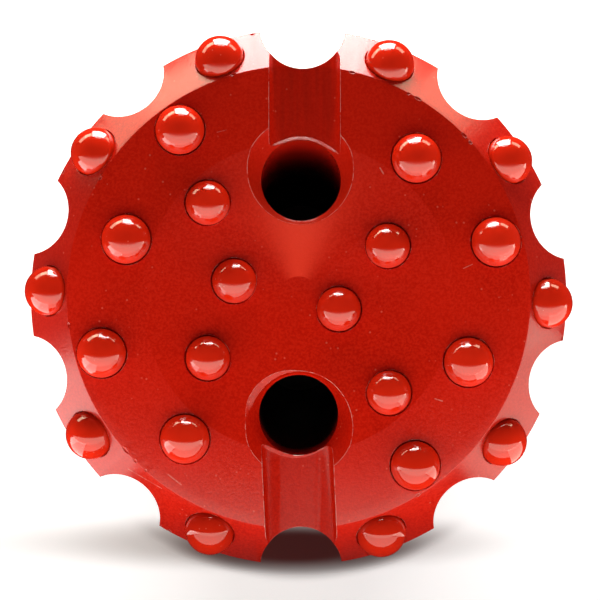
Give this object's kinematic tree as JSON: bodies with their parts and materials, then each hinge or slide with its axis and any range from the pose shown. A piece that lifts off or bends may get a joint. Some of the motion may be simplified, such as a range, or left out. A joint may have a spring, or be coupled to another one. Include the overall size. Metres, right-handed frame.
{
  "type": "button drill bit",
  "caption": "Down-the-hole hammer button bit with a dished face, domed carbide buttons, flushing holes and grooves, and a splined shank; painted red.",
  "frame": {"origin": "centre of the striking face at the shank's end, which the bit stands on", "axes": "+Z along the bit's axis towards the cutting face; +Y through the first flushing hole and its groove; +X to the right when the face is looked at with +Y up"},
  "size_m": [0.2028, 0.1978, 0.3877],
  "materials": {
    "red_paint": "satin red enamel over forged and machined steel, slightly orange-peeled, with small nicks along the edges",
    "gloss_red": "thick glossy red enamel over polished carbide domes"
  },
  "bodies": {
    "root": {"bit_body": "red_paint", "gauge_button_01": "gloss_red", "gauge_button_02": "gloss_red", "gauge_button_03": "gloss_red", "gauge_button_04": "gloss_red", "gauge_button_05": "gloss_red", "gauge_button_06": "gloss_red", "gauge_button_07": "gloss_red", "gauge_button_08": "gloss_red", "gauge_button_09": "gloss_red", "gauge_button_10": "gloss_red", "face_button_01": "gloss_red", "face_button_02": "gloss_red", "face_button_03": "gloss_red", "face_button_04": "gloss_red", "face_button_05": "gloss_red", "face_button_06": "gloss_red", "face_button_07": "gloss_red", "face_button_08": "gloss_red", "inner_button_01": "gloss_red", "inner_button_02": "gloss_red", "inner_button_03": "gloss_red", "inner_button_04": "gloss_red", "inner_button_05": "gloss_red", "inner_button_06": "gloss_red"}
  },
  "joints": []
}
